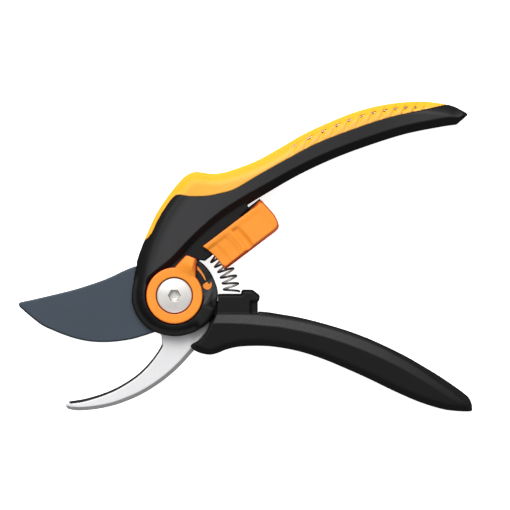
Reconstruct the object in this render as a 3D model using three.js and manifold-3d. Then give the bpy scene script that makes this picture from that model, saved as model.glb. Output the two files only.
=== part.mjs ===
// Bypass pruner, in millimetres. The pruner lies on its back with the handles open.
// Origin: on the pivot axis, in the plane it lies on. +X along the handles, +Y towards the
// upper handle, +Z out of the front face, where the pivot bolt's head is.

import * as THREE from 'three';
import { mergeVertices } from 'three/addons/utils/BufferGeometryUtils.js';
import Module from 'manifold-3d';

const wasm = await Module();
wasm.setup();

const DEG = Math.PI / 180;

// Depths along the pivot, from the back up.
const BACK = 0;
const FRONT = 17;
const GAP = 0.3;
const HOOK_LOW = 4.6;
const HOOK_HIGH = 8.6;
const BLADE_LOW = 8.9;
const BLADE_HIGH = 11.8;
const COVER_LOW = 12.1;
const PLATEAU = 14.6;
const SHELF_LOW = 2.2;
const MID_DEPTH = 8.5;

// Hub and pivot radii.
const HUB_RADIUS = 18.6;
const ARC_RADIUS = 18.9;
const HOOK_DISC = 17.4;
const BLADE_DISC = 16.5;
const RING_OUTER = 12.15;
const RING_INNER = 7.9;
const RING_RECESS = 12.6;
const HEAD_RADIUS = 7.66;
const SOCKET_RADIUS = 2.5;
const SHANK_RADIUS = 3;
const SHOULDER_RADIUS = 4;
const SLEEVE_RADIUS = 5.6;
const NUT_RADIUS = 7.5;
const NUT_RECESS = 8.6;
const BUSH_OUTER = 7.2;
const PIN_RADIUS = 1.5;

// Opening stop: a small bolt that the ring lever drives outwards.
const STOP_ANGLE = -32;
const STOP_TRAVEL = 1.5;
const STOP_WIDTH = 2.6;
const STOP_TIP = 18.4;
const PEG_RADIUS = 0.75;
const PEG_PLACE = 9.35;
const LEVER_TURN = 38;

// Return spring, bent along an arc about the pivot.
const SPRING_ARC = 24.65;
const COIL_RADIUS = 3.3;
const WIRE_RADIUS = 0.5;
const SPRING_FROM = 4;
const SPRING_TO = 61.5;
const SPRING_TURNS = 8.2;

// Lock slider, laid out along its own travel: u along it, v across it.
const SLIDE_ANGLE = 37.2;
const SLIDER_LOW = 0.2;
const SLIDER_TOP = 9.76;
const SLIDER_BOTTOM = -4;
const SLIDER_INNER_ARC = 24.2;
const SLIDER_OUTER_ARC = 55;
const CHEEK = 1.7;
const FLOOR_FROM = 43.5;
const RAIL_LOW = 4.3;
const RAIL_HIGH = 8;
const RAIL_END = 47.4;

const GRIP_WALL = 1.9;
const SPINE_WALL = 2.3;

const COLOURS = {
  black: { color: '#232325', roughness: 0.55, metalness: 0 },
  yellow: { color: '#ffbe2e', roughness: 0.7, metalness: 0 },
  orange: { color: '#fb8b22', roughness: 0.5, metalness: 0 },
  coated: { color: '#48525c', roughness: 0.45, metalness: 0.4 },
  satin: { color: '#d6d6d4', roughness: 0.35, metalness: 0.9 },
  steel: { color: '#bcbcba', roughness: 0.3, metalness: 1 },
  brass: { color: '#b79a55', roughness: 0.4, metalness: 1 },
};

// Outlines: lists of points in the XY plane.

const at = (x, y) => new THREE.Vector2(x, y);
const polar = (radius, degrees) => at(radius * Math.cos(degrees * DEG), radius * Math.sin(degrees * DEG));

function slideAt(u, v) {
  const cos = Math.cos(SLIDE_ANGLE * DEG);
  const sin = Math.sin(SLIDE_ANGLE * DEG);
  return at(u * cos - v * sin, u * sin + v * cos);
}

function arc(radius, from, to, step = 7.5) {
  const count = Math.max(2, Math.ceil(Math.abs(to - from) / step));
  return Array.from({ length: count + 1 }, (_, i) => polar(radius, from + ((to - from) * i) / count));
}

function smooth(pairs, spacing = 5) {
  const curve = new THREE.SplineCurve(pairs.map(([x, y]) => at(x, y)));
  const count = Math.max(pairs.length, Math.ceil(curve.getLength() / spacing));
  return curve.getSpacedPoints(count);
}

function outline(...runs) {
  const points = runs.flat().map((p) => (Array.isArray(p) ? at(p[0], p[1]) : p));
  return points.filter((p, i) => p.distanceTo(points[(i + 1) % points.length]) > 0.05);
}

function grown(points, amount) {
  const shape = THREE.ShapeUtils.isClockWise(points) ? [...points].reverse() : points;
  return shape.map((p, i) => {
    const before = shape[(i + shape.length - 1) % shape.length];
    const after = shape[(i + 1) % shape.length];
    const along = after.clone().sub(before).normalize();
    return at(p.x + along.y * amount, p.y - along.x * amount);
  });
}

// Solids.

function solid(geometry) {
  geometry.deleteAttribute('normal');
  geometry.deleteAttribute('uv');
  const merged = mergeVertices(geometry, 1e-4);
  return new wasm.Manifold(new wasm.Mesh({
    numProp: 3,
    vertProperties: new Float32Array(merged.attributes.position.array),
    triVerts: new Uint32Array(merged.index.array),
  }));
}

function slab(points, low, high, bevel = 0) {
  const geometry = new THREE.ExtrudeGeometry(new THREE.Shape(points), {
    depth: high - low - 2 * bevel,
    bevelEnabled: bevel > 0,
    bevelSize: bevel,
    bevelThickness: bevel,
    bevelOffset: -bevel,
    bevelSegments: 1,
  });
  geometry.translate(0, 0, low + bevel);
  return solid(geometry);
}

const disc = (radius, low, high, bevel = 0) => slab(arc(radius, 0, 352.5), low, high, bevel);
const ring = (outer, inner, low, high) => disc(outer, low, high).subtract(disc(inner, low - 1, high + 1));

function pinAt(x, y, low, high, radius = PIN_RADIUS) {
  return slab(arc(radius, 0, 330, 30).map((p) => at(p.x + x, p.y + y)), low, high);
}

function turned(profile) {
  const geometry = new THREE.LatheGeometry(profile.map(([r, z]) => at(r, z)), 40);
  geometry.rotateX(Math.PI / 2);
  return solid(geometry);
}

function sector(inner, outer, from, to, low, high) {
  return slab(outline(arc(outer, from, to), arc(inner, to, from)), low, high);
}

// A bar that lies along a spoke of the hub.
function spoke(angle, from, to, width, low, high) {
  const corners = [[from, -width / 2], [to, -width / 2], [to, width / 2], [from, width / 2]];
  const cos = Math.cos(angle * DEG);
  const sin = Math.sin(angle * DEG);
  return slab(corners.map(([r, w]) => at(r * cos - w * sin, r * sin + w * cos)), low, high);
}

// Outlines that more than one piece needs.

const SPINE = [
  [-18.6, 2.4], [-17.4, 10.1], [-14.6, 19.6], [-8.3, 34.4], [-3.9, 41.4], [0.5, 47.2], [4.4, 51.3],
  [9.3, 53.4], [15.2, 52.6], [20.5, 53], [30.1, 55.9], [45.6, 63.8], [61.2, 72.4], [76.8, 78.8],
  [92.3, 82.7], [107.9, 83.7], [117.7, 82.4], [121.5, 81.2],
];
const UNDERSIDE = [[115.2, 72.9], [100.1, 69.9], [84.6, 65.1], [69, 59.3], [53.4, 52], [37.8, 43]];
const FACE_FOOT = [[27.6, 38.6], [17.7, 31.4], [7.9, 22.6], [3, 17.2], [-0.6, 13.1], [-4.4, 9.9]];
const TIP = [[126, 78.2], [121.6, 73.8]];
const GRIP_EDGE = [
  [-10.5, 25.8], [-7.7, 31.1], [-3, 39], [0.5, 43], [6, 42.7], [14.9, 42.9], [26.1, 45.8], [36, 51.6],
  [53.4, 61.6], [69, 68.6], [84.6, 73.9], [100.1, 78.6], [117.7, 82.2],
];

// The face of the upper handle, with the rim that runs round the hub under the ring lever.
const upperOutline = outline(
  smooth(SPINE), TIP, smooth(UNDERSIDE), smooth(FACE_FOOT, 8), [[-2, 2], [8, -3.2], [12.7, 0.3]],
  polar(HUB_RADIUS, 12.7), polar(HUB_RADIUS, 0), polar(18.4, -20), polar(18.1, -40), polar(17.8, -65),
  polar(17.7, -90), polar(17.8, -115), polar(18.1, -135), polar(18.4, -155), polar(18.6, -172),
);

const hookOutline = outline(
  arc(HOOK_DISC, -45, 78), [[5, 30], [4, 35], [-2, 35.5], [-5.2, 31], [-7.5, 20]],
  arc(HOOK_DISC, 115, 252),
  smooth([[-5.6, -21.1], [-8.2, -25.5], [-16.4, -34.3], [-27, -40.7], [-39.3, -44.7], [-45.1, -45.6]], 4),
  [[-46.8, -46.4], [-46.9, -47.7], [-45.4, -48.9]],
  smooth([[-41.5, -49.7], [-34, -49.1], [-20.8, -45.4], [-7.6, -38.8], [2.6, -29.1], [7.7, -23.5], [11, -17.5]], 5),
);

const bladeTang = [[18.5, -13.5], [28, -16.6], [44, -16.4], [46.6, -13.4], [44, -11.2], [30, -7.8], [21, -3.6]];
const bladeOutline = outline(
  smooth([[-17.1, 12.7], [-27, 8.3], [-42.6, 2.8], [-58.2, -1.1], [-65.6, -2.6]], 7),
  [[-67.2, -3.2], [-67, -4.6]],
  smooth([[-66, -5.8], [-57.5, -12.6], [-47.8, -16.9], [-37.4, -19.7], [-27, -20], [-16.7, -18.4], [-8.8, -15.9]], 5),
  arc(BLADE_DISC, 250, 322), bladeTang, arc(BLADE_DISC, -4, 140),
);
const tangPocket = grown([at(12, -10), ...bladeTang.map(([x, y]) => at(x, y)), at(15, -1)], GAP);

const stopSpoke = (from, to, width, low, high) => spoke(STOP_ANGLE, from, to, width, low, high);

// Upper handle.

function gripRegion(shift) {
  const edge = smooth(GRIP_EDGE).map((p) => at(p.x + shift * 0.5, p.y - shift * 0.86));
  return slab(outline([[-30, 22 - shift]], [[-13.4, 23.4 - shift]], edge, [[119.6, 90], [40, 100], [-30, 70]]), -5, 25);
}

function gripTongue(spineWall, faceWall) {
  const spine = smooth(SPINE.slice(2, 17)).map((p, i, all) => {
    const along = all[Math.min(i + 1, all.length - 1)].clone().sub(all[Math.max(i - 1, 0)]).normalize();
    return at(p.x + along.y * spineWall, p.y - along.x * spineWall);
  });
  const below = smooth(GRIP_EDGE.slice(1)).map((p) => at(p.x + 3, p.y - 5));
  return slab(outline(spine.slice(1, -2), below.reverse()), BACK + faceWall, FRONT - faceWall);
}

function housing() {
  const points = [
    [19.5, 3.9], [24, RAIL_LOW], [RAIL_END, RAIL_LOW], [RAIL_END, RAIL_HIGH], [43.4, RAIL_HIGH],
    [43.4, 10.2], [48.4, 10.2], [49, 15], [30, 19], [16, 18], [12, 12],
  ];
  return slab(points.map(([u, v]) => slideAt(u, v)), SHELF_LOW, PLATEAU);
}

function upperHandle() {
  const hub = disc(HUB_RADIUS - 0.2, SHELF_LOW, PLATEAU).add(disc(17.6, 0.5, 4, 0.8));
  const bladeSlot = sector(6, 30, 139, 398, HOOK_LOW - GAP, COVER_LOW);
  const springWell = sector(20.4, 29, 36, 63.6, 4.3, 12.7);
  const tunnel = stopSpoke(8, RING_RECESS, STOP_WIDTH + 0.6, 12.9, FRONT + 1)
    .intersect(disc(30, 0, PLATEAU + 0.5))
    .add(stopSpoke(12, 20, STOP_WIDTH + 0.6, 12.9, 15.5));
  return slab(upperOutline, BACK, FRONT, 2.2)
    .subtract(gripRegion(GAP))
    .add(gripTongue(SPINE_WALL + GAP, GRIP_WALL + GAP))
    .add(hub)
    .add(housing())
    .subtract(disc(RING_RECESS, PLATEAU, FRONT + 2))
    .subtract(disc(NUT_RECESS, -1, HOOK_LOW))
    .subtract(disc(SHOULDER_RADIUS + GAP, HOOK_LOW, FRONT))
    .subtract(bladeSlot)
    .subtract(disc(HOOK_DISC + GAP, HOOK_LOW - GAP, COVER_LOW))
    .subtract(slab(grown(hookOutline, GAP), HOOK_LOW - GAP, HOOK_HIGH + GAP))
    .subtract(springWell)
    .subtract(tunnel)
    .subtract(pinAt(-1.5, 22.5, 3, 13, PIN_RADIUS + GAP))
    .subtract(pinAt(0, 31, 3, 13, PIN_RADIUS + GAP));
}

function softGrip() {
  return slab(upperOutline, BACK, FRONT, 2.2)
    .intersect(gripRegion(0))
    .subtract(gripTongue(SPINE_WALL, GRIP_WALL));
}

function hookBlade() {
  return slab(hookOutline, HOOK_LOW, HOOK_HIGH)
    .subtract(disc(SLEEVE_RADIUS + GAP, 0, FRONT))
    .subtract(pinAt(-1.5, 22.5, 0, FRONT, PIN_RADIUS + GAP))
    .subtract(pinAt(0, 31, 0, FRONT, PIN_RADIUS + GAP));
}

// Pivot.

function pivotBolt() {
  const head = turned([
    [0, 1.4], [SHANK_RADIUS, 1.4], [SHANK_RADIUS, 12.2], [SHOULDER_RADIUS, 12.2], [SHOULDER_RADIUS, 15.3],
    [HEAD_RADIUS, 15.3], [HEAD_RADIUS, 16.3], [7, 16.9], [4, 17.2], [0, 17.2],
  ]);
  return head.subtract(slab(arc(SOCKET_RADIUS, 0, 300, 60), 15.2, 20));
}

function pivotNut() {
  return slab(arc(NUT_RADIUS, 0, 300, 60), BACK, 3.3)
    .add(disc(SLEEVE_RADIUS, 3, 11.9))
    .subtract(disc(SHANK_RADIUS + GAP, 1, FRONT));
}

// Ring lever, opening stop and lock slider.

// The spiral track on the underside of the ring that moves the stop's peg outwards.
function pegGroove() {
  const turns = [-7, 0, 9.5, 19, 28.5, LEVER_TURN, LEVER_TURN + 7];
  const half = PEG_RADIUS + 0.35;
  const edge = (side) => turns.map((turn) => {
    const part = THREE.MathUtils.clamp(turn / LEVER_TURN, 0, 1);
    return polar(PEG_PLACE + STOP_TRAVEL * part + side * half, STOP_ANGLE + turn);
  });
  return slab(outline(edge(1), edge(-1).reverse()), PLATEAU, 16);
}

function ringLever() {
  const lug = [[9.2, 8.3], [9.3, 11.3], [9.6, 15], [9.1, 16], [6.1, 17.2], [5, 17.3], [0.4, 12.6]];
  const ridge = [[4, 14.2], [5.4, 16.5], [6.6, 16.4], [9, 15.2], [8.7, 11.6], [8.5, 9.6], [6.2, 11]];
  const plan = outline(arc(RING_OUTER, 88.2, 402), lug);
  return slab(plan, PLATEAU + 0.2, FRONT, 0.4)
    .add(slab(outline(ridge), FRONT - 1, 18.8, 0.6))
    .subtract(disc(RING_INNER, 0, 20))
    .subtract(pegGroove());
}

function openingStop() {
  const [x, y] = polar(PEG_PLACE, STOP_ANGLE).toArray();
  return stopSpoke(8.3, 14, STOP_WIDTH, 13.2, 14.3)
    .add(stopSpoke(13, STOP_TIP, STOP_WIDTH, 13.2, 15.2))
    .add(pinAt(x, y, 13.5, 15.7, PEG_RADIUS));
}

function sliderBlock(u0, u1, v0, v1, low, high) {
  return slab([slideAt(u0, v0), slideAt(u1, v0), slideAt(u1, v1), slideAt(u0, v1)], low, high);
}

function lockSlider() {
  const inner = arc(SLIDER_INNER_ARC, SLIDE_ANGLE + 23.8, SLIDE_ANGLE - 9.5, 5);
  const outer = arc(SLIDER_OUTER_ARC, SLIDE_ANGLE - 2.5, SLIDE_ANGLE + 10.2, 2.5);
  const corner = [slideAt(51.6, SLIDER_BOTTOM), slideAt(53.4, -3.7), slideAt(54.3, -2.9)];
  const low = SLIDER_LOW + CHEEK;
  const high = FRONT - CHEEK - 0.1;
  const hollow = sliderBlock(15, 52.4, -2.5, RAIL_HIGH + GAP, low, high)
    .add(sliderBlock(15, 48.5, 0, 15, low, high))
    .add(sliderBlock(15, FLOOR_FROM, -8, 1, low, high));
  const catches = [[low - 0.5, 4.4], [12.6, high + 0.5]].map(([a, b]) =>
    sliderBlock(38.1, 40.9, SLIDER_BOTTOM, -1.9, a, b));
  const lips = [[low - 0.5, 2.7], [14.3, high + 0.5]].map(([a, b]) => sliderBlock(25.5, 43, 3.1, 4, a, b));
  return slab(outline(inner, corner, outer), SLIDER_LOW, FRONT, 0.7)
    .subtract(hollow)
    .add(catches[0])
    .add(catches[1])
    .add(lips[0])
    .add(lips[1]);
}

function sliderClip() {
  const wave = [[33, 8.2], [36, 8.2], [38, 8.9], [40, 8.2], [43, 8.2], [43, 8.5], [40, 8.5], [38, 9.2], [36, 8.5], [33, 8.5]];
  return slab(wave.map(([u, v]) => slideAt(u, v)), 15.1, 15.2);
}

// Return spring: a helix wound round an arc.

class BentHelix extends THREE.Curve {
  getPoint(t, target = new THREE.Vector3()) {
    const along = (SPRING_FROM + (SPRING_TO - SPRING_FROM) * t) * DEG;
    const turn = t * SPRING_TURNS * 2 * Math.PI;
    const radius = SPRING_ARC + COIL_RADIUS * Math.cos(turn);
    return target.set(radius * Math.cos(along), radius * Math.sin(along), MID_DEPTH + COIL_RADIUS * Math.sin(turn));
  }
}

function returnSpring() {
  const section = new THREE.Shape(arc(WIRE_RADIUS, 0, 300, 60));
  const steps = Math.round(SPRING_TURNS * 12);
  return solid(new THREE.ExtrudeGeometry(section, { steps, extrudePath: new BentHelix(), bevelEnabled: false }));
}

// Lower handle.

const lowerTop = [[36, -7.9], [45.6, -8.1], [61.2, -11], [76.8, -15.9], [92.3, -22.4], [107.9, -30.8], [123.5, -41]];
const lowerBottom = [
  [120.4, -49.7], [105.3, -45.8], [89.7, -38.8], [74.2, -31.6], [58.6, -25.5], [43, -22.1], [27.5, -22.1],
  [18.8, -24.7], [15.5, -25.5], [11.9, -25], [9, -23.6],
];

function post() {
  const points = [
    [18.4, -10], polar(ARC_RADIUS, -15), polar(ARC_RADIUS, 2.4), [28.6, 0.8], [28.9, 2.6], [33.4, 2.6],
    [36.6, 0.3], [36.8, -0.8], [36.6, -2.1], [35.9, -2.5], [36, -12],
  ];
  const groove = [[32.8, -8.2], [38, -8.2], [38, -2.4], [32.8, -2.4]].map(([x, y]) => at(x, y));
  return slab(outline(points), 3.2, 13.8)
    .subtract(slab(groove, 0, 5.1))
    .subtract(slab(groove, 11.9, FRONT));
}

function stopTrack() {
  const low = 12.9;
  const high = 15.5;
  const outer = ARC_RADIUS + STOP_TRAVEL;
  return sector(17, outer, -37, -27, low, high).add(sector(17, outer, -60, -42, low, high));
}

function lowerHandle() {
  const points = outline(
    arc(ARC_RADIUS, -54, -24), [[18.4, -7.8]], smooth(lowerTop), [[126.6, -43.5], [128.2, -46.7], [128.4, -49.4], [125, -50]],
    smooth(lowerBottom), [[7.3, -21.8], [9, -19.2]],
  );
  return slab(points, BACK, FRONT, 1.4)
    .add(post())
    .subtract(disc(ARC_RADIUS, -1, FRONT + 1))
    .subtract(slab(grown(hookOutline, 0.4), HOOK_LOW - 0.4, HOOK_HIGH + 0.4))
    .subtract(slab(tangPocket, BLADE_LOW - GAP, BLADE_HIGH + GAP))
    .subtract(stopTrack())
    .subtract(pinAt(28, -12, 3, 14.5, PIN_RADIUS + GAP))
    .subtract(pinAt(41, -13.6, 3, 14.5, PIN_RADIUS + GAP));
}

function cuttingBlade() {
  return slab(bladeOutline, BLADE_LOW, BLADE_HIGH)
    .subtract(disc(BUSH_OUTER + GAP, 0, FRONT))
    .subtract(pinAt(28, -12, 0, FRONT, PIN_RADIUS + GAP))
    .subtract(pinAt(41, -13.6, 0, FRONT, PIN_RADIUS + GAP));
}

// The pruner, one mesh for each piece.

const pieces = {
  upper_handle_core: [upperHandle(), 'black'],
  soft_grip: [softGrip(), 'yellow'],
  hook_blade: [hookBlade(), 'satin'],
  hook_pin_inner: [pinAt(-1.5, 22.5, 3.3, 12.7), 'steel'],
  hook_pin_outer: [pinAt(0, 31, 3.3, 12.7), 'steel'],
  pivot_bolt: [pivotBolt(), 'steel'],
  pivot_nut: [pivotNut(), 'steel'],
  nut_washer: [ring(8.2, SLEEVE_RADIUS + GAP, 3.6, 4.3), 'steel'],
  head_washer: [ring(7.4, SHOULDER_RADIUS + GAP, 14.7, 15.1), 'steel'],
  return_spring: [returnSpring(), 'steel'],
  slider_clip: [sliderClip(), 'steel'],
  lower_handle_core: [lowerHandle(), 'black'],
  cutting_blade: [cuttingBlade(), 'coated'],
  blade_bush: [ring(BUSH_OUTER, SLEEVE_RADIUS + GAP, 9, 11.8), 'brass'],
  blade_pin_inner: [pinAt(28, -12, 3.3, 14.2), 'steel'],
  blade_pin_outer: [pinAt(41, -13.6, 3.3, 14.2), 'steel'],
  ring_lever: [ringLever(), 'orange'],
  opening_stop: [openingStop(), 'steel'],
  lock_slider: [lockSlider(), 'orange'],
};

function pieceMesh(name, body, finish) {
  const { vertProperties, triVerts } = body.getMesh();
  const geometry = new THREE.BufferGeometry();
  geometry.setAttribute('position', new THREE.BufferAttribute(vertProperties, 3));
  geometry.setIndex(new THREE.BufferAttribute(triVerts, 1));
  geometry.computeVertexNormals();
  const mesh = new THREE.Mesh(geometry, new THREE.MeshStandardMaterial(COLOURS[finish]));
  mesh.name = name;
  return mesh;
}

const pruner = new THREE.Group();
pruner.name = 'bypass_pruner';
for (const [name, [body, finish]] of Object.entries(pieces)) {
  pruner.add(pieceMesh(name, body, finish));
}

export default pruner;
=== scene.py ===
"""Bypass pruner: the finished look of every piece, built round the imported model.

Lengths in the shape code are millimetres in the model's frame: origin on the pivot axis in the plane
the pruner lies on, +X along the handles, +Y to the upper handle, +Z out of the front. mesh_object turns
them into metres. Moulded and ground pieces are drawn as distance fields on a grid and then skinned.
"""

import functools
import math

import bmesh
import bpy
import numpy as np
from bpy.props import FloatProperty, FloatVectorProperty, PointerProperty
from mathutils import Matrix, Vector


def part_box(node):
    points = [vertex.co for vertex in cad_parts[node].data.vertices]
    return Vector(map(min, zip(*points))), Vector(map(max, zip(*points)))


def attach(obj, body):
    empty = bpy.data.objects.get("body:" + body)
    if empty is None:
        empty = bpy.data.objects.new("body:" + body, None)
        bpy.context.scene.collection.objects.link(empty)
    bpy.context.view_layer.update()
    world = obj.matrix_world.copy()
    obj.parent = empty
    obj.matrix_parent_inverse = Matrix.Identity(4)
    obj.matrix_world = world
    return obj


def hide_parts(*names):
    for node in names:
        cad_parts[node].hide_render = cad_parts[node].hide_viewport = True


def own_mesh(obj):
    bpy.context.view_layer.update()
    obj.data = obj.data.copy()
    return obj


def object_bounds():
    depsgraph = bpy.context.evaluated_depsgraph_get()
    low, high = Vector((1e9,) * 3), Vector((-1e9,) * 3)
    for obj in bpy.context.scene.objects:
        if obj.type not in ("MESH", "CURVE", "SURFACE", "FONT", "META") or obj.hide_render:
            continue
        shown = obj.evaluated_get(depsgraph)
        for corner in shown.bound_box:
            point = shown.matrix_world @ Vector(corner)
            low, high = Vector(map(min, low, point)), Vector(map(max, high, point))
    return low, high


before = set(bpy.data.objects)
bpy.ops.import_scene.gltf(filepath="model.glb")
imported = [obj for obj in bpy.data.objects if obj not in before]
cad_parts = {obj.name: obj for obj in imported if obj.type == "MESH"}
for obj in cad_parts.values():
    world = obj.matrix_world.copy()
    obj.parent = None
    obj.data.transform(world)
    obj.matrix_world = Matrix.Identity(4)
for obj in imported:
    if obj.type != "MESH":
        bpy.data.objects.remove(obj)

bl_info = {
    "name": "Bypass Pruner",
    "version": (1, 0, 0),
    "blender": (4, 5, 0),
    "location": "3D View > Sidebar > Pruner",
    "description": "Builds a bypass pruner piece by piece over its packed frame",
    "category": "Object",
}

CAD_BOX = [list(corner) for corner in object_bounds()]
MM = 0.001

# Depths along the pivot.
FRONT = 17
MIDDLE = FRONT / 2
PLATEAU = 14.6
SHELF = 2.2
HOOK_LOW, HOOK_HIGH = 4.6, 8.6
BLADE_LOW, BLADE_HIGH = 8.9, 11.8
COVER_LOW = 12.1
STOP_LOW, STOP_HIGH = 12.9, 15.5
POST_LOW, POST_HIGH = 3.2, 13.8
PLAY = 0.3
OVERRUN = 5

# Hub and pivot, as radii.
ARC_RADIUS = 18.75
BACK_PLATE, HUB_SLOT = 17.6, 17.7
RING_OUTER, RING_INNER, RING_RECESS = 12.15, 7.9, 12.6
HEAD_RADIUS, SHANK_RADIUS, THREAD_RADIUS, BORE_RADIUS = 7.66, 4, 3, 4.3
SLEEVE_RADIUS, NUT_RECESS = 5.6, 8.6
BLADE_HOLE, HOOK_HOLE = 7.5, 5.9
SOCKET_HALF, NUT_HALF = 2.15, 6.45
STOP_ANGLE, STOP_HALF = -32, 1.6

# Soft grip: its walls over the spine and the faces, and the seam along its edge.
SPINE_WALL, FACE_WALL = 2.6, 2.2
SEAM = 0.12

# Lock slider, laid out along its travel (u) and across it (v).
SLIDE_ANGLE = 37.2
SLIDE_DIRECTION = (math.cos(math.radians(SLIDE_ANGLE)), math.sin(math.radians(SLIDE_ANGLE)))

# Return spring.
SPRING_ARC = 24.65
COIL_MIDDLE = 8.5
COIL_RADIUS = 3.3
WIRE_RADIUS = 0.5
SPRING_FROM, SPRING_TO = 3.6, 61.5
SPRING_TURNS = 8.2

# The view, in metres: straight down, with this width at mid depth, from far enough to look flat.
CAMERA_HEIGHT = 3
VIEW_WIDTH = 0.2202
VIEW_CENTRE = (0.03471, 0.0175)


# ---- Outlines ----

def polar(radius, degrees):
    return (radius * math.cos(math.radians(degrees)), radius * math.sin(math.radians(degrees)))


def arc(radius, start, end, step=3):
    count = max(2, math.ceil(abs(end - start) / step))
    return [polar(radius, start + (end - start) * i / count) for i in range(count + 1)]


def slide_at(u, v):
    c, s = SLIDE_DIRECTION
    return (u * c - v * s, u * s + v * c)


def smooth(pairs, steps=5):
    """Points on a Catmull-Rom curve through the pairs."""
    p = np.array(pairs, float)
    p = np.vstack([2 * p[0] - p[1], p, 2 * p[-1] - p[-2]])
    found = []
    for a, b, c, d in zip(p, p[1:], p[2:], p[3:]):
        for t in np.arange(steps) / steps:
            found.append(0.5 * (2 * b + (c - a) * t + (2 * a - 5 * b + 4 * c - d) * t**2
                                + (3 * b - a - 3 * c + d) * t**3))
    return [tuple(q) for q in found] + [tuple(p[-2])]


# Upper handle.
SPINE = smooth([
    (-18.7, 2.4), (-17.4, 10.1), (-15.8, 16.3), (-13, 23.9), (-8.3, 34.4), (-3.9, 41.4), (0.5, 47.2),
    (4.2, 51.2), (7.1, 52.9), (9.5, 53.4), (12.7, 53), (16, 52.6), (20, 52.9), (25, 54.2),
    (35.3, 58.1), (45.6, 63.8), (56, 69.8), (66.4, 74.6), (76.8, 78.8), (87.2, 81.7), (97.5, 83.3),
    (107.9, 83.7), (117.7, 82.4), (121.5, 81.2),
])
TIP = [(121.5, 81.2), (125.9, 78.7), (126.4, 77.8), (121.6, 73.7)]
UNDERSIDE = smooth([
    (121.6, 73.8), (115.2, 72.9), (100.1, 69.9), (84.6, 65.1), (69, 59.3), (53.4, 52), (37.8, 43),
    (29.4, 37.7), (20, 31.1), (11, 23.1), (5, 16.8), (0.4, 12.2), (-4.2, 8.6), (-8.4, 5.2),
])
FACET = [(12.72, 0.26), (17.9, 4.15)]
HUB_SIDE = smooth([polar(r, a) for r, a in [
    (18.6, 12), (18.7, 0), (18.65, -20), (18.6, -38), (18.1, -52), (17.75, -68), (17.6, -90), (17.75, -115),
    (18.1, -135), (18.4, -155), (18.7, -172),
]])
GRIP_EDGE = smooth([
    (-22, 17), (-12.8, 23.6), (-10.5, 25.8), (-9.2, 27.7), (-7.7, 31.1), (-5.4, 35.3), (-3, 39),
    (-0.9, 41.8), (0.6, 43), (2.6, 43.3), (6, 42.7), (10.5, 42.6), (14.9, 42.9), (19.7, 43.9),
    (26.1, 45.8), (36, 51.6), (47.9, 58.3), (61.2, 65.3), (76.8, 71.4), (92.3, 76.5), (108.3, 80.1),
    (117.7, 82.3), (128, 84.5),
])
HUB = HUB_SIDE + arc(18.4, 180, 20)
UPPER_FACE = SPINE + TIP + UNDERSIDE + [(-3, 1), (8, -3.2)] + FACET + HUB_SIDE

# Hook and blade.
HOOK_INNER = smooth([
    (-5.6, -17.6), (-5.6, -21.1), (-8.2, -25.5), (-12, -30.2), (-16.4, -34.3), (-21.7, -37.9),
    (-27, -40.7), (-33.1, -43), (-39.3, -44.7), (-44.4, -45.5),
])
HOOK_OUTER = smooth([
    (-46, -49.1), (-41.5, -49.7), (-34, -49.1), (-26.9, -47.65), (-20.5, -45.5), (-14, -42.55),
    (-7.9, -38.85), (-2.1, -34.5), (3.2, -29.5), (8.1, -24), (12.6, -19.3), (16.2, -15.2),
])
HOOK = (
    arc(17.4, -32, 78) + [(5, 30), (4, 35), (-2, 35.5), (-5.2, 31), (-7.5, 20)] + arc(17.4, 115, 248)
    + HOOK_INNER + [(-46, -45.8), (-46.9, -46.6), (-47, -47.8)] + HOOK_OUTER
)

BLADE_BACK = smooth([
    (-17.1, 12.7), (-21.8, 10.8), (-27, 8.3), (-32.2, 6.2), (-42.6, 2.8), (-53, 0.2), (-60.8, -1.6),
    (-66.4, -2.8),
])
BLADE_EDGE = smooth([
    (-66.9, -4.9), (-63.4, -8), (-57.5, -12.6), (-53, -14.8), (-47.8, -16.9), (-42.6, -18.6),
    (-37.4, -19.7), (-32.4, -20.1), (-27, -20), (-21.8, -19.4), (-16.7, -18.4), (-8.8, -15.9),
])
TANG = [(18.5, -13.5), (28, -16.6), (44, -16.4), (46.6, -13.4), (44, -11.2), (30, -7.8), (21, -3.6)]
BLADE_TIP = [(-67.2, -3.3), (-67.3, -4)]
BLADE = BLADE_BACK + BLADE_TIP + BLADE_EDGE + arc(16.5, 250, 322) + TANG + arc(16.5, -4, 140)

# Lower handle.
LOWER_TOP = smooth([
    (36, -6.9), (40.4, -7.2), (45.6, -8), (53.4, -9.35), (61.2, -11.2), (69, -13.4), (76.8, -15.9),
    (84.6, -18.9), (92.3, -22.4), (100.1, -26.3), (107.9, -30.8), (115.7, -35.6), (123.5, -41),
])
LOWER_BOTTOM = smooth([
    (125, -50), (120.4, -49.7), (114.8, -48.8), (105.3, -45.8), (94.9, -41.3), (84.6, -36.3),
    (74.2, -31.6), (63.8, -27.3), (53.4, -24), (43, -22.1), (35.2, -21.7), (27.5, -22.1),
    (22.3, -23.3), (18.8, -24.7), (15.5, -25.5), (11.9, -25), (8.9, -23.8), (7.1, -22.4), (6.9, -21.5),
])
LOWER_END = [(126.6, -43.5), (127.4, -44.6), (128.2, -46.7), (128.4, -49.2), (127.9, -49.9)]
LOWER_FACE = (
    [(15, -11.9)] + arc(ARC_RADIUS - 0.4, -36, -24) + [(18.2, -7.8), (36, -7.8)] + LOWER_TOP + LOWER_END
    + LOWER_BOTTOM + smooth([(7.9, -20.6), (10.9, -19), (13.2, -16.6), (14.5, -13.8)], 3)
)
NOSE_LINE = [(20.3, 0.5), (19.4, -4.5), (18.3, -8.2), (16.7, -12), (15, -14.9), (13.7, -17.1),
             (8.6, -23.6)]
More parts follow.
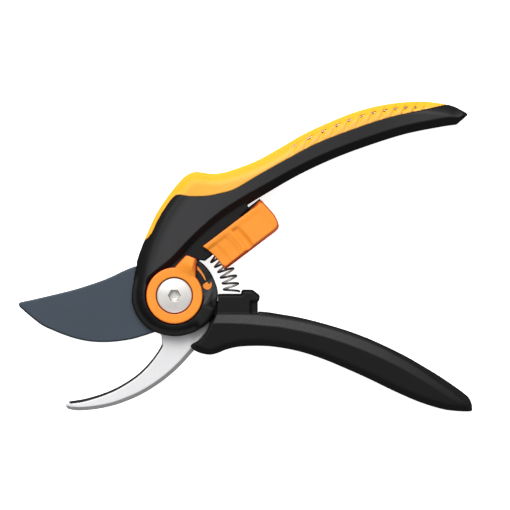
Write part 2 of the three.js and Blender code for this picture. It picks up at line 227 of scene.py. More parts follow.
BAND_TOP = smooth([(14, -7.5), (18.7, -7.7), (36.3, -8.6), (54.7, -11.4), (70.7, -15.5), (86.7, -21.6),
                   (102.7, -30.2), (118.7, -41.2), (126.7, -47.3)])
RIDGE = smooth([
    (13, -12), (23, -11.9), (30.7, -12.2), (39.3, -13), (46.7, -13.8), (62.7, -17.2), (78.7, -22.5),
    (94.7, -29.7), (110.7, -38.9), (126.7, -49.3), (134, -54),
])
POST_TOP = [(28.6, 0.8), (28.8, 2), (29.4, 2.6), (33.2, 2.6), (34, 2.3), (36.4, 0.5), (36.8, -0.3)]
POST_FOOT = [(36.7, -1.8), (36.2, -2.4), (35.9, -2.8), (35.9, -12)]
POST = [(18.4, -10)] + arc(ARC_RADIUS, -15, 2.4) + POST_TOP + POST_FOOT
POST_LEDGE = [(18.9, 0.9)] + POST_TOP
POST_GROOVE = [(32.8, -8.3), (38, -8.3), (38, -2.3), (32.8, -2.3)]

# Slider, the housing it runs on, and the ring lever.
HOUSING = [slide_at(u, v) for u, v in [
    (19.5, 3.9), (24, 4.3), (47.4, 4.3), (47.4, 8), (43.4, 8), (43.4, 9.84), (46, 9.95), (47.7, 10.27),
    (48.45, 10.62), (49, 15), (30, 19), (16, 18), (12, 12),
]]
SLIDER = (
    arc(24.2, SLIDE_ANGLE + 23.7, SLIDE_ANGLE - 10.3, 2)
    + [slide_at(*p) for p in [(51.3, -4.35), (53, -4.15), (54.2, -3.2), (54.9, -1.4)]]
    + arc(55.45, SLIDE_ANGLE + 1.5, SLIDE_ANGLE + 9.6, 1.4)
    + [slide_at(*p) for p in [(54.3, 10.3), (53.3, 10.55), (52.2, 10.15), (50.5, 9.85), (47, 9.76)]]
)
LEVER_LUG = [(9.2, 8.3), (9.3, 11.3), (9.65, 15), (9.2, 15.95), (6.1, 17.2), (5.1, 17.35),
             (4.5, 16.95), (0.4, 12.5)]
LEVER = arc(RING_OUTER, 88.2, 402, 3) + LEVER_LUG
FOLD = [(8.5, 15.6), (7.3, 10.7), (7, 9.6)]
ARROW = (
    smooth([(9.75, 12.9), (10.9, 11.6), (12.2, 9.7), (13.1, 8), (13.55, 6.6)], 4)
    + [(13.3, 6.5)]
    + smooth([(13, 6.9), (12, 8.6), (10.9, 10.1), (9.75, 11.2)], 4)
)
ARROW_HEAD = smooth([
    (13.15, 5.35), (12.5, 4.9), (12.35, 4.1), (12.8, 3.2), (13.9, 2.6), (15, 2.75), (15.8, 3.6),
    (16.05, 4.8), (15.75, 5.9), (15.35, 5.2), (14.9, 4.9), (14.5, 5.4), (14, 5.9),
], 4)


# ---- Distance fields ----

class Grid:
    """A box of sample points, in millimetres, round a box given in metres."""

    def __init__(self, box, step, margin=1.5):
        low, high = (np.array(corner, float) / MM for corner in box)
        self.step = step
        self.low = low - margin
        axes = [np.arange(a, b + margin + step, step) for a, b in zip(self.low, high)]
        self.x, self.y = np.meshgrid(axes[0], axes[1], indexing="ij")
        self.z = axes[2][None, None, :]
        self.radius = np.hypot(self.x, self.y)
        self.angle = np.degrees(np.arctan2(self.y, self.x))


def nearest(g, points, close):
    """Distance to a line of points, and which side of it each sample is on (positive on the left)."""
    p = np.array(points, float)
    q = np.roll(p, -1, axis=0) if close else p[1:]
    best = np.full(g.x.shape, np.inf)
    left = np.zeros(g.x.shape)
    inside = np.zeros(g.x.shape, bool)
    for (ax, ay), (bx, by) in zip(p[:len(q)], q):
        dx, dy = bx - ax, by - ay
        length = dx * dx + dy * dy
        if length < 1e-9:
            continue
        px, py = g.x - ax, g.y - ay
        t = np.clip((px * dx + py * dy) / length, 0, 1)
        d = (px - t * dx) ** 2 + (py - t * dy) ** 2
        closer = d < best
        best = np.where(closer, d, best)
        left = np.where(closer, dx * py - dy * px, left)
        if close and dy != 0:
            crossing = ((ay > g.y) != (by > g.y)) & (px < dx * py / dy)
            inside ^= crossing
    return np.sqrt(best), left, inside


def fence(g, points):
    """Signed distance to a closed outline, negative inside."""
    distance, _, inside = nearest(g, points, True)
    return np.where(inside, -distance, distance)


def reach(g, points):
    """Distance to an open line."""
    return nearest(g, points, False)[0]


def side(g, points):
    """Signed distance to an open line, positive on its left."""
    distance, left, _ = nearest(g, points, False)
    return np.where(left > 0, distance, -distance)


def most(*values):
    """The largest of several values at each sample."""
    return functools.reduce(np.maximum, values)


def rolled(distance, width, height):
    """How far a face has dropped at a distance from its edge, along an elliptical roll."""
    t = np.clip(1 - distance / width, 0, 1)
    return height * (1 - np.sqrt(1 - t * t))


def sloped(distance, width, height):
    """A drop along a straight slope."""
    return height * np.clip(1 - distance / width, 0, 1)


def eased(distance, width, height):
    """A drop that starts flat and steepens to a slope of twice height over width at the edge."""
    return height * np.clip(1 - distance / width, 0, 1) ** 2


def blend(value, start, end):
    """Goes smoothly from 0 at the start to 1 at the end, in either direction."""
    t = np.clip((value - start) / (end - start), 0, 1)
    return t * t * (3 - 2 * t)


def column(g, plan, bottom, top):
    """A solid over a plan, from a bottom surface to a top surface."""
    bottom, top = (np.asarray(s, float) for s in (bottom, top))
    bottom, top = (s[:, :, None] if s.ndim == 2 else s for s in (bottom, top))
    return most(plan[:, :, None], g.z - top, bottom - g.z)


def rounded_column(g, plan, bottom, top, radius):
    """A solid over a plan with rolled edges top and bottom."""
    drop = rolled(-plan, radius, radius)
    return column(g, plan, bottom + drop, top - drop)


def wedge(g, start, end):
    """Signed distance to a sector between two angles, negative inside."""
    width = end - start
    turn = (g.angle - start) % 360
    near = np.where(turn < width, -np.minimum(turn, width - turn), np.minimum(360 - turn, turn - width))
    return g.radius * np.radians(np.clip(near, -60, 60))


def spoke(g, angle, start, end, half):
    """Signed distance to a bar along a spoke of the hub."""
    c, s = math.cos(math.radians(angle)), math.sin(math.radians(angle))
    out = g.x * c + g.y * s
    across = np.abs(g.y * c - g.x * s)
    return most(start - out, out - end, across - half)


def hexagon(g, half):
    """Signed distance to a hexagon with a corner on +X, given half its width across flats."""
    turns = [math.radians(30 + 60 * i) for i in range(6)]
    return most(*(g.x * math.cos(t) + g.y * math.sin(t) for t in turns)) - half


def slider_axes(g):
    c, s = SLIDE_DIRECTION
    return g.x * c + g.y * s, g.y * c - g.x * s


def slide_box(g, u0, u1, v0, v1):
    """Signed distance to a rectangle laid out along the slider's travel."""
    u, v = slider_axes(g)
    return most(u0 - u, u - u1, v0 - v, v - v1)


def cut(solid, *tools):
    return most(solid, *(-tool for tool in tools))


def join(*solids):
    return functools.reduce(np.minimum, solids)


def skin(field, g):
    """Vertices and quads of the surface where the field is zero."""
    inside = field < 0
    shape = tuple(n - 1 for n in field.shape)
    offsets = [(i, j, k) for i in (0, 1) for j in (0, 1) for k in (0, 1)]

    def corner(a, o):
        return a[o[0]:o[0] + shape[0], o[1]:o[1] + shape[1], o[2]:o[2] + shape[2]]

    count = sum(corner(inside, o).astype(np.int8) for o in offsets)
    cells = np.argwhere((count > 0) & (count < 8))
    index = np.full(shape, -1, np.int64)
    index[tuple(cells.T)] = np.arange(len(cells))
    total = np.zeros((len(cells), 3))
    hits = np.zeros(len(cells))
    for o in offsets:
        for axis in range(3):
            if o[axis]:
                continue
            e = tuple(v + (axis == n) for n, v in enumerate(o))
            a = field[tuple((cells + o).T)]
            b = field[tuple((cells + e).T)]
            crossed = (a < 0) != (b < 0)
            t = np.where(crossed, a / np.where(crossed, a - b, 1), 0)
            spot = np.array(o, float) + t[:, None] * (np.arange(3) == axis)
            total += spot * crossed[:, None]
            hits += crossed
    points = (cells + total / hits[:, None]) * g.step + g.low
    quads = []
    for axis in range(3):
        b, c = (axis + 1) % 3, (axis + 2) % 3
        low = np.moveaxis(inside, axis, 0)[:-1]
        high = np.moveaxis(inside, axis, 0)[1:]
        for first, flip in ((low & ~high, False), (~low & high, True)):
            found = np.argwhere(np.moveaxis(first, 0, axis))
            ring = []
            for db, dc in ((1, 1), (0, 1), (0, 0), (1, 0)):
                cell = found.copy()
                cell[:, b] -= db
                cell[:, c] -= dc
                ring.append(index[tuple(cell.T)])
            ring = np.stack(ring, 1)
            quads.append(ring[:, ::-1] if flip else ring)
    return points, np.vstack(quads)


# ---- Objects ----

def link_mesh(mesh, material):
    """Put a mesh in the scene under its own name."""
    mesh.materials.append(material)
    piece = bpy.data.objects.new(mesh.name, mesh)
    bpy.context.scene.collection.objects.link(piece)
    return piece


def mesh_object(name, points, quads, material):
    """A smooth-shaded piece from points in millimetres."""
    mesh = bpy.data.meshes.new(name)
    mesh.vertices.add(len(points))
    mesh.vertices.foreach_set("co", np.asarray(points * MM, np.float32).ravel())
    sides = quads.shape[1]
    mesh.loops.add(quads.size)
    mesh.loops.foreach_set("vertex_index", quads.ravel().astype(np.int32))
    mesh.polygons.add(len(quads))
    mesh.polygons.foreach_set("loop_start", np.arange(0, quads.size, sides, dtype=np.int32))
    mesh.update(calc_edges=True)
    mesh.validate()
    mesh.polygons.foreach_set("use_smooth", np.ones(len(mesh.polygons), bool))
    return link_mesh(mesh, material)


def skinned(name, shape, step, material):
    """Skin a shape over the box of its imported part, and keep it inside the whole model's box."""
    g = Grid(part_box(name), step)
    points, quads = skin(shape(g), g)
    points = np.clip(points, *(np.array(CAD_BOX) / MM))
    return g, points, mesh_object(name + "_look", points, quads, material)


def flat_print(name, outline, low, high, material):
    """A thin closed plate over an outline."""
    count = len(outline)
    ring = [(x * MM, y * MM, z * MM) for z in (low, high) for x, y in outline]
    faces = [tuple(range(count))[::-1], tuple(range(count, 2 * count))]
    faces += [(i, (i + 1) % count, count + (i + 1) % count, count + i) for i in range(count)]
    mesh = bpy.data.meshes.new(name)
    mesh.from_pydata(ring, [], faces)
    return link_mesh(mesh, material)


def cap_ends(tube, rings, sides):
    """Close both ends of a tube made of rings of points."""
    shape = bmesh.new()
    shape.from_mesh(tube.data)
    shape.verts.ensure_lookup_table()
    shape.faces.new([shape.verts[i] for i in range(sides)][::-1])
    shape.faces.new([shape.verts[rings * sides + i] for i in range(sides)])
    bmesh.ops.recalc_face_normals(shape, faces=shape.faces)
    shape.to_mesh(tube.data)
    shape.free()


def paint_shading(piece, values):
    """Stores painted light and shade: how far each vertex takes the material's lit face colour rather than
    its shaded edge colour, from 0 to 1.
    """
    layer = piece.data.attributes.new("tone", "FLOAT", "POINT")
    layer.data.foreach_set("value", np.asarray(values, np.float32))


def plan_value(g, plan, points):
    """A plan's value at each vertex, by linear interpolation between samples."""
    i, j = ((points[:, n] - g.low[n]) / g.step for n in (0, 1))
    i0, j0 = np.floor(i).astype(int), np.floor(j).astype(int)
    fi, fj = i - i0, j - j0
    return (plan[i0, j0] * (1 - fi) * (1 - fj) + plan[i0 + 1, j0] * fi * (1 - fj)
            + plan[i0, j0 + 1] * (1 - fi) * fj + plan[i0 + 1, j0 + 1] * fi * fj)


def upward(piece):
    """How far each vertex's normal points along the pivot, without its sign."""
    normals = np.zeros(len(piece.data.vertices) * 3, np.float32)
    piece.data.vertices.foreach_get("normal", normals)
    return np.abs(normals.reshape(-1, 3)[:, 2])


def settle(piece, body, slot, *nodes):
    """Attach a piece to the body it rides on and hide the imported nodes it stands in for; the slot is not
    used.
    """
    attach(piece, body)
    if nodes:
        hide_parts(*nodes)


# ---- Materials ----

class Finish:
    """A material with one Principled shader and the small helpers that its patterns need."""

    def __init__(self, name, colour, roughness, metallic=0, specular=0.5):
        self.face = colour
        self.material = bpy.data.materials.new(name)
        self.material.use_nodes = True
        self.tree = self.material.node_tree
        self.shader = self.tree.nodes["Principled BSDF"]
        self.set("Base Color", (*colour, 1))
        self.set("Roughness", roughness)
        self.set("Metallic", metallic)
        self.set("Specular IOR Level", specular)

    def set(self, socket, value):
        self.shader.inputs[socket].default_value = value

    def node(self, kind, **values):
        node = self.tree.nodes.new(kind)
        for key, value in values.items():
            if hasattr(node, key):
                setattr(node, key, value)
            else:
                node.inputs[key.replace("_", " ").title()].default_value = value
        return node

    def link(self, source, target):
        self.tree.links.new(source, target)

    def place(self, stretch=(1, 1, 1), turn=0):
        spot = self.node("ShaderNodeTexCoord")
        mapping = self.node("ShaderNodeMapping")
        mapping.inputs["Scale"].default_value = stretch
        mapping.inputs["Rotation"].default_value = (0, 0, turn)
        self.link(spot.outputs["Object"], mapping.inputs["Vector"])
        return mapping.outputs["Vector"]

    def noise(self, scale, detail, stretch=(1, 1, 1), turn=0):
        noise = self.node("ShaderNodeTexNoise", scale=scale, detail=detail)
        self.link(self.place(stretch, turn), noise.inputs["Vector"])
        return noise.outputs["Fac"]

    def range(self, source, low, high, start=0, end=1):
        ranged = self.node("ShaderNodeMapRange")
        for key, value in (("From Min", start), ("From Max", end), ("To Min", low), ("To Max", high)):
            ranged.inputs[key].default_value = value
        self.link(source, ranged.inputs["Value"])
        return ranged.outputs["Result"]

    def mix(self, factor, first, second):
        mixed = self.node("ShaderNodeMix", data_type="RGBA")
        self.link(factor, mixed.inputs["Factor"])
        for socket, value in ((mixed.inputs[6], first), (mixed.inputs[7], second)):
            if isinstance(value, bpy.types.NodeSocket):
                self.link(value, socket)
            else:
                socket.default_value = (*value, 1)
        return mixed.outputs[2]

    def mottled(self, source, colour, low, high, start, end):
        """A colour that drifts between two shares of itself as a pattern goes from start to end."""
        return self.mix(self.range(source, 0, 1, start, end), dimmed(colour, low), dimmed(colour, high))

    def sum(self, first, second, weight=1):
        node = self.node("ShaderNodeMath", operation="MULTIPLY_ADD")
        self.link(second, node.inputs[0])
        node.inputs[1].default_value = weight
        self.link(first, node.inputs[2])
        return node.outputs[0]

    def lit_and_shaded(self, edge, face):
        """Painted light and shade: colour from a shaded edge colour to a lit face colour, as the piece's
        painted shading says.
        """
        tone = self.node("ShaderNodeAttribute", attribute_name="tone").outputs["Fac"]
        self.colour(self.mix(tone, edge, face))

    def colour(self, source):
        self.link(source, self.shader.inputs["Base Color"])

    def rough(self, source):
        self.link(source, self.shader.inputs["Roughness"])

    def grained(self, edge, cloud, grain, shares, span, rough, bump, drift=(0, 0)):
        """Colour that drifts with a cloud, and roughness and bumps that follow a grain; an edge colour,
        where given, is painted shade, mixed in as the piece's painted shading says.
        """
        drifting = self.mottled(cloud, self.face, *shares, *span)
        if edge:
            self.lit_and_shaded(edge, drifting)
        else:
            self.colour(drifting)
        self.rough(self.sum(self.range(grain, *rough), cloud, drift[0]))
        self.bump(self.sum(grain, cloud, drift[1]), *bump)
        return self.material

    def bump(self, height, strength, distance):
        bump = self.node("ShaderNodeBump")
        bump.inputs["Strength"].default_value = strength
        bump.inputs["Distance"].default_value = distance
        self.link(height, bump.inputs["Height"])
        self.link(bump.outputs["Normal"], self.shader.inputs["Normal"])


def hue(name):
    return tuple(getattr(bpy.context.scene.pruner_colours, name))


def size(name):
    """A setting in millimetres, freed of the rounding that a stored length in metres brings."""
    return float(np.float32(round(getattr(bpy.context.scene.pruner_sizes, name) / MM, 4)))


def dimmed(colour, share):
    return tuple(c * share for c in colour)


# How much of a pattern's range its colours drift over.
SLOW, QUICK = (0.3, 0.7), (0.35, 0.65)


def moulded_black(name="moulded_black"):
    """Glass-filled nylon: spark-eroded grain on the faces; the rolled edges and side walls take a darker
    colour, painted shade.
    """
    f = Finish(name, hue("black_face"), 0.5, specular=0.22)
    return f.grained(hue("black_shade"), f.noise(38, 4), f.noise(2600, 2), (0.92, 1.08), SLOW,
                     rough=(0.44, 0.56), bump=(0.16, 0.00005), drift=(0.06, 0.4))


def moulded_lower():
    """The same nylon on the lower handle: painted darker below the ridge as shade, and painted lighter on
    the band above, where it faces the light, with a woven texture on the band.
    """
    f = Finish("moulded_black_lower", hue("lower_shade"), 0.5, specular=0.16)
    cloud = f.noise(38, 4)
    grain = f.noise(2600, 2)
    weave = f.node("ShaderNodeTexVoronoi", scale=1500)
    f.link(f.place(), weave.inputs["Vector"])
    woven = f.mottled(weave.outputs["Distance"], hue("lower_lit_band"), 0.72, 1.12, 0.1, 0.6)
    f.lit_and_shaded(f.mottled(cloud, f.face, 0.9, 1.1, *SLOW), woven)
    f.rough(f.sum(f.range(grain, 0.42, 0.54), cloud, 0.06))
    f.bump(f.sum(grain, weave.outputs["Distance"], 0.7), 0.18, 0.00006)
    return f.material


def soft_yellow():
    """Soft overmould: matt, painted a little deeper in colour where it rolls over the spine, as shade."""
    f = Finish("soft_yellow", hue("grip_face"), 0.62, specular=0.3)
    f.set("Subsurface Weight", 0.04)
    f.set("Subsurface Radius", (0.004, 0.002, 0.0008))
    return f.grained(hue("grip_shade"), f.noise(45, 3), f.noise(3200, 2), (0.97, 1), SLOW,
                     rough=(0.55, 0.7), bump=(0.12, 0.00005), drift=(0, 0.3))


def orange_acetal(name="orange_acetal"):
    """Moulded acetal, painted redder and darker at its edges and side walls, as shade."""
    f = Finish(name, hue("orange_face"), 0.42, specular=0.4)
    f.set("Subsurface Weight", 0.03)
    f.set("Subsurface Radius", (0.003, 0.001, 0.0004))
    return f.grained(hue("orange_shade"), f.noise(70, 3), f.noise(2400, 2), (0.96, 1), SLOW,
                     rough=(0.38, 0.5), bump=(0.08, 0.00004))


def blade_coating():
    """Low-friction coating: a fine even orange peel over ground steel; painted darker on the bevel along
    the edge, as shade.
    """
    f = Finish("blade_coating", hue("blade"), 0.4, 0.25, 0.35)
    peel = f.noise(1500, 3)
    grind = f.noise(900, 2, (0.06, 1, 1), -0.25)
    f.lit_and_shaded(hue("blade_shade"), f.mottled(f.noise(30, 4), f.face, 0.94, 1.06, *SLOW))
    f.rough(f.range(peel, 0.34, 0.5))
    f.bump(f.sum(peel, grind, 0.6), 0.1, 0.00004)
    return f.material


def ground_steel():
    """Satin ground hook: fine grinding lines across the plate; its bevels take the dark edge colour,
    painted shade.
    """
    f = Finish("ground_steel", hue("hook_face"), 0.34, 0.35)
    lines = f.noise(1500, 3, (1, 0.03, 1), 0.6)
    f.lit_and_shaded(hue("hook_shade"), f.mottled(lines, f.face, 0.98, 1, *QUICK))
    f.rough(f.sum(f.range(lines, 0.31, 0.37), f.noise(60, 3), 0.05))
    f.bump(lines, 0.02, 0.00003)
    return f.material


def turned_steel():
    """Turned bolt head: rings of tool marks about the pivot, a faint warm cast; painted darker on its sides
    and socket walls, as shade.
    """
    f = Finish("turned_steel", hue("bolt"), 0.32, 0.4)
    rings = f.node("ShaderNodeTexWave", wave_type="RINGS", rings_direction="Z", scale=900, distortion=1.2)
    f.link(f.node("ShaderNodeTexCoord").outputs["Object"], rings.inputs["Vector"])
    return f.grained(dimmed(f.face, 0.3), f.noise(160, 4), rings.outputs["Fac"], (0.9, 1), QUICK,
                     rough=(0.26, 0.34), bump=(0.05, 0.00003), drift=(0.08, 0))


def drawn_wire():
    """Bright drawn spring wire with fine scratches; the front strands of each coil are painted dark, a
    painted reflection.
    """
    f = Finish("drawn_wire", hue("spring"), 0.24, 0.5)
    scratch = f.noise(1400, 3)
    return f.grained(dimmed(f.face, 0.05), scratch, scratch, (0.8, 1), QUICK,
                     rough=(0.14, 0.3), bump=(0.05, 0.00002))


def plain_metal(name, face, roughness):
    """Inner pieces: plated or plain metal with small scuffs."""
    f = Finish(name, face, roughness, 1)
    scuff = f.noise(700, 4)
    return f.grained(None, scuff, scuff, (0.8, 1), QUICK,
                     rough=(roughness - 0.08, roughness + 0.12), bump=(0.08, 0.00003))


def printed_orange():
    """Ink of the arrow, faintly speckled."""
    f = Finish("printed_orange", hue("print_ink"), 0.5)
    speck = f.noise(1800, 2)
    return f.grained(None, speck, speck, (0.9, 1), QUICK, rough=(0.42, 0.58), bump=(0.05, 0.00002))


# ---- Shapes ----

def upper_drop(g, flutes=False):
    """How far the upper handle's face drops towards its edges; front and back are alike."""
    spine = reach(g, HUB_SIDE + SPINE)
    near_hub = blend(g.y, 28, 4)
    width = 5.6 + 1.4 * near_hub
    if flutes:
        # The flutes lean over the spine and close up towards the end of the handle.
        lean, closing = 0.6, 0.0062
        along = np.clip(g.x + lean * spine - 40, 0, 90)
        turns = -np.log(1 - closing * along) / closing / size("flute_pitch")
        wave = (turns + 0.12 * np.sin(2 * math.pi * turns)) * 2 * math.pi
        fluted = blend(g.x, 44, 56) * (1 - blend(g.x, 103, 112))
        width = width + fluted * (1.5 * np.cos(wave) + 0.9)
    over_stop = blend(-wedge(g, STOP_ANGLE - 22, STOP_ANGLE + 18), -1.5, 2)
    round_edge = eased(spine, width, 1) * (4.4 + 0.8 * near_hub) * (1 - over_stop)
    foot = blend(g.x, 45, 20)
    under = sloped(reach(g, UNDERSIDE), 3.5 + 0.8 * foot, 1) * (3.2 + 0.6 * foot)
    hub = eased(reach(g, HUB_SIDE), 1.6, 1.3)
    return most(round_edge, hub, under, sloped(reach(g, FACET), 3.7, 2.4), rolled(reach(g, TIP), 3, 2.6))


def grip_tongue(g, spine_wall, face_wall):
    """The part of the black core that fills the soft grip."""
    inside = spine_wall - reach(g, SPINE + TIP[:2])
    plan = most(fence(g, UPPER_FACE), inside, -6 - side(g, GRIP_EDGE))
    return column(g, plan, face_wall, FRONT - face_wall)


def upper_core(g):
    """The black handle with the hub, the hub's back plate and the slider's housing."""
    drop = upper_drop(g)
    face = column(g, fence(g, UPPER_FACE), drop, FRONT - drop)
    solid = cut(face, (SEAM - side(g, GRIP_EDGE))[:, :, None])
    solid = join(
        solid,
        grip_tongue(g, SPINE_WALL, FACE_WALL),
        rounded_column(g, fence(g, HUB), SHELF, PLATEAU, 0.7),
        rounded_column(g, g.radius - BACK_PLATE, 0.5, 4, 0.8),
        rounded_column(g, fence(g, HOUSING), SHELF, PLATEAU, 0.6),
    )
    blade_way = most(wedge(g, 139, 398), g.radius - 30, 6 - g.radius)
    spring_well = most(wedge(g, 36, 63.6), np.abs(g.radius - 24.7) - 4.3)
    return cut(
        solid,
        column(g, fence(g, HOOK) - PLAY, HOOK_LOW - PLAY, HOOK_HIGH + PLAY),
        column(g, blade_way, HOOK_LOW - PLAY, COVER_LOW),
        column(g, g.radius - HUB_SLOT, HOOK_LOW - PLAY, COVER_LOW),
        column(g, spring_well, 4.3, 12.7),
        column(g, g.radius - BORE_RADIUS, 0, FRONT + OVERRUN),
        column(g, g.radius - NUT_RECESS, -OVERRUN, HOOK_LOW),
        column(g, g.radius - RING_RECESS, PLATEAU, FRONT + OVERRUN),
        column(g, spoke(g, STOP_ANGLE, 12, 20, STOP_HALF), STOP_LOW, STOP_HIGH),
        column(g, spoke(g, STOP_ANGLE, 8, 12.6, STOP_HALF), STOP_LOW, FRONT),
        column(g, slide_box(g, 38.8, 50, 7, 11.5), -OVERRUN, 12),
    )


def grip_shell(g):
    """The soft grip, fluted over the spine, with room inside for the core's tongue."""
    edge = side(g, GRIP_EDGE) - SEAM
    drop = most(upper_drop(g, flutes=True), rolled(edge, 0.25, 0.2))
    outside = most(fence(g, UPPER_FACE), -edge)
    return cut(column(g, outside, drop, FRONT - drop), grip_tongue(g, SPINE_WALL - PLAY, FACE_WALL - PLAY))


def lower_core(g):
    """The lower handle: a ridged grip, a nose beside the hub, and the post under the spring."""
    ridge = side(g, RIDGE)
    tilt = np.where(ridge > 0, np.interp(g.x, (75, 120), (0.34, 0.08)) * ridge, -0.07 * ridge)
    drop = most(
        np.clip(1.9 * side(g, BAND_TOP), 0, 6) * blend(g.x, 34, 40),
        rolled(reach(g, LOWER_TOP), 0.8, 0.8),
        eased(reach(g, LOWER_BOTTOM), 5, 3.8),
        eased(reach(g, LOWER_END), 3, 2.4),
        tilt + np.clip(-0.9 * side(g, NOSE_LINE), 0, 6),
    )
    body = column(g, fence(g, LOWER_FACE), drop, FRONT - drop)
    ledge = sloped(reach(g, POST_LEDGE), 1, 2.4)
    post = column(g, fence(g, POST), POST_LOW + ledge, POST_HIGH - ledge)
    groove = fence(g, POST_GROOVE)
    post = cut(post, column(g, groove, 11.9, FRONT), column(g, groove, 0, 5.1))
    # The stop bolt runs in this track and is stopped by the tooth between its two stretches.
    track = np.minimum(wedge(g, STOP_ANGLE - 5, STOP_ANGLE + 5), wedge(g, STOP_ANGLE - 28, STOP_ANGLE - 10))
    track = most(track, g.radius - (ARC_RADIUS + size("stop_travel")))
    tang_pocket = fence(g, [(12, -10)] + TANG + [(15, -1)]) - PLAY
    hook_play = PLAY + 0.1
    return cut(
        join(body, post),
        column(g, fence(g, HOOK) - hook_play, HOOK_LOW - hook_play, HOOK_HIGH + hook_play),
        column(g, tang_pocket, BLADE_LOW - PLAY, BLADE_HIGH + PLAY),
        column(g, g.radius - ARC_RADIUS, -OVERRUN, FRONT + OVERRUN),
        column(g, track, STOP_LOW, STOP_HIGH),
    )


def blade_plate(g):
    plan = fence(g, BLADE)
    drop = most(sloped(reach(g, BLADE_EDGE), 0.6, 0.8), rolled(reach(g, BLADE_BACK), 0.4, 0.5))
    plate = column(g, plan, BLADE_LOW + rolled(-plan, 0.3, 0.3), BLADE_HIGH - drop)
    return cut(plate, column(g, g.radius - BLADE_HOLE, 0, FRONT))


def hook_bevel(g):
    """Width of the hook's inner bevel, which starts below the hub and opens out towards the tip."""
    opening = np.clip((-g.x - 5) / 36, 0, 1)
    return 0.02 + (0.66 + 0.5 * opening) * blend(g.y, -20.4, -22)


def hook_plate(g):
    plan = fence(g, HOOK)
    inner = sloped(reach(g, HOOK_INNER), hook_bevel(g), 1.3 * hook_bevel(g))
    drop = most(inner, sloped(reach(g, HOOK_OUTER), 1.65, 1.5), rolled(-plan, 0.3, 0.3))
    plate = column(g, plan, HOOK_LOW + rolled(-plan, 0.4, 0.4), HOOK_HIGH - drop)
    return cut(plate, column(g, g.radius - HOOK_HOLE, 0, FRONT))


def lever_plate(g):
    """The ring, with a lug whose top rises to a fold."""
    plan = fence(g, LEVER)
    hole = RING_INNER - g.radius
    fold = side(g, FOLD)
    slope = np.where(fold < 0, 1 + fold / 7.5, 1 - fold / 2)
    rise = 1.75 * np.clip(slope, 0, 1) * blend(g.radius, 9.6, 15.2) * blend(g.y, 4, 10)
    edge = most(rolled(-plan, 0.7, 0.7), rolled(-hole, 0.5, 0.5))
    return column(g, most(plan, hole), PLATEAU + 0.2, FRONT + rise - edge)


def slider_drop(g):
    """How far the slider's side walls lean in: most along the lower edge and at the outer corner."""
    u, v = slider_axes(g)
    inset = -fence(g, SLIDER)
    low = 1.35 * (1 - blend(v, -3.2, -1.6)) * blend(u, 22.5, 25)
    low = low * (1 - 0.3 * blend(u, 36.4, 36.9))
    corner = 0.75 * blend(u, 47.5, 51.5) * blend(v, 8.6, 9.6)
    lean = 0.3 + most(low, corner) + 0.35 * blend(u, 53.4, 54.2)
    return most(sloped(inset, lean, 3), rolled(inset, lean + 0.5, 0.5))


def slider_shell(g):
    """A saddle over the housing, open towards it, with catches for the post and lips for the rail."""
    u, v = slider_axes(g)
    r = g.radius
    plan = fence(g, SLIDER)
    edge = rolled(-plan, 0.9, 0.9)
    # Two low thumb steps and one deep one, round the pivot, then the raised pad.
    pad = blend(r, 39, 41.2)
    steps = 0.28 * blend(r, 29.2, 28) + 0.28 * blend(r, 34.4, 33)
    ridge = 0.3 * np.exp(-((r - 36.2) / 1) ** 2)
    cliff = 0.65 * blend(r, 36.9, 37.6)
    dish = size("slider_dish") * (1 - 0.5 * pad)
    dish = dish + (steps - ridge + cliff + 0.3 * blend(v, 6, 0)) * (1 - pad)
    dish = dish * (1 - most(blend(v, 6.2, 8.2), blend(u, 50.8, 53.4)))
    solid = column(g, plan, 0.2 + edge, FRONT - most(slider_drop(g), dish))
    low, high = 1.9, 15
    hollow = [column(g, slide_box(g, *sides), low, high)
              for sides in ((15, 52.4, -2.5, 8.3), (15, 48.5, 0, 15), (15, 43.5, -8, 1))]
    catch = slide_box(g, 38.1, 40.9, -3.6, -1.9)
    lip = slide_box(g, 25.5, 43, 3.1, 4)
    inner = [column(g, catch, 1.4, 4.4), column(g, catch, 12.6, 15.4),
             column(g, lip, 1.4, 2.7), column(g, lip, 14.3, 15.4)]
    # The skirt below the upper edge takes the darker red edge colour, a painted shade of the slider's side
    # wall.
    skirt = column(g, most(slide_box(g, 47.8, 60, 8.3, 9.5), r - 55.2), 0.4, 11.6)
    return join(cut(solid, *hollow), skirt, *inner)


def slider_rail(g):
    """A black strip that the slider carries along its upper edge: a painted shade, standing for the
    slider's side wall in shadow.
    """
    plan = most(slide_box(g, 43.6, 60, 8.6, 11.1), g.radius - 55.6)
    return rounded_column(g, plan, 0.6, 11.6, 0.3)


def bolt_body(g):
    """A domed head with a hex socket and its lead-in, a shank and a thread core."""
    dome = 17.2 - 0.9 * (g.radius / HEAD_RADIUS) ** 2 - rolled(HEAD_RADIUS - g.radius, 0.6, 0.5)
    head = column(g, g.radius - HEAD_RADIUS, 15.3, np.where(g.radius < HEAD_RADIUS, dome, 15.5))
    shank = column(g, g.radius - SHANK_RADIUS, 12.2, 15.5)
    thread = column(g, g.radius - THREAD_RADIUS, 1.4, 12.4)
    socket = hexagon(g, SOCKET_HALF)
    mouth = socket - 0.25
    lead_in = column(g, mouth, FRONT - 2 * np.clip(-mouth, 0, 1), FRONT + OVERRUN)
    return cut(join(head, shank, thread), lead_in, column(g, socket, 15.2, FRONT + OVERRUN))


def nut_body(g):
    """A hex flange on the back and a sleeve that the bolt screws into."""
    chamfer = 0.9 * np.clip((g.radius - 6.3) / 1.2, 0, 1)
    flange = column(g, hexagon(g, NUT_HALF), chamfer, 3.3)
    sleeve = column(g, g.radius - SLEEVE_RADIUS, 1.5, 11.9)
    return cut(join(flange, sleeve), column(g, g.radius - THREAD_RADIUS - PLAY, 1, FRONT + OVERRUN))


# ---- Settings ----

def shade(name, description, value):
    return FloatVectorProperty(name=name, description=description, subtype="COLOR", size=3,
                               min=0, max=1, default=value)


